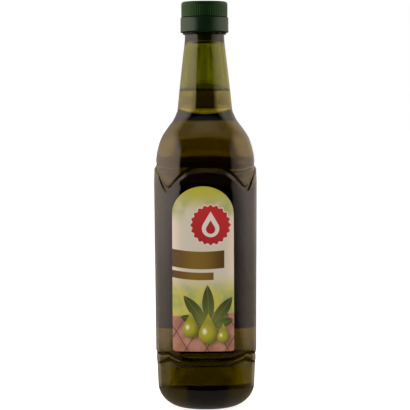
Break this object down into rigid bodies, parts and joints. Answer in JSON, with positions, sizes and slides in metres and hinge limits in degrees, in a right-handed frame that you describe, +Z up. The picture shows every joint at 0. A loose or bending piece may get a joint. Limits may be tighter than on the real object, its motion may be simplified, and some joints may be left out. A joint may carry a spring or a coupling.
{
  "type": "olive oil bottle",
  "caption": "Full one-litre cooking oil bottle in tinted clear plastic, with arched panels, a ribbed screw cap over a sealing band, and an arched front label and a plain back label.",
  "frame": {"origin": "middle of the base, on the surface that the bottle stands on", "axes": "+Z up along the bottle's axis to the cap, -Y towards the side with the front label, +X to the right of someone who faces that label"},
  "size_m": [0.0768, 0.0778, 0.3045],
  "materials": {
    "tinted_plastic": "clear moulded PET with an olive tint, glossy",
    "olive_oil": "clear golden green oil",
    "pourer_plastic": "moulded near-black green plastic",
    "green_cap": "moulded dark green plastic, satin",
    "green_band": "moulded dark green plastic, smooth",
    "front_print": "printed film label, semi-gloss",
    "back_print": "plain printed label, satin"
  },
  "bodies": {
    "root": {"bottle": "tinted_plastic", "oil": "olive_oil", "pourer": "pourer_plastic", "cap": "green_cap", "cap_band": "green_band", "front_label": "front_print", "back_label": "back_print"}
  },
  "joints": []
}
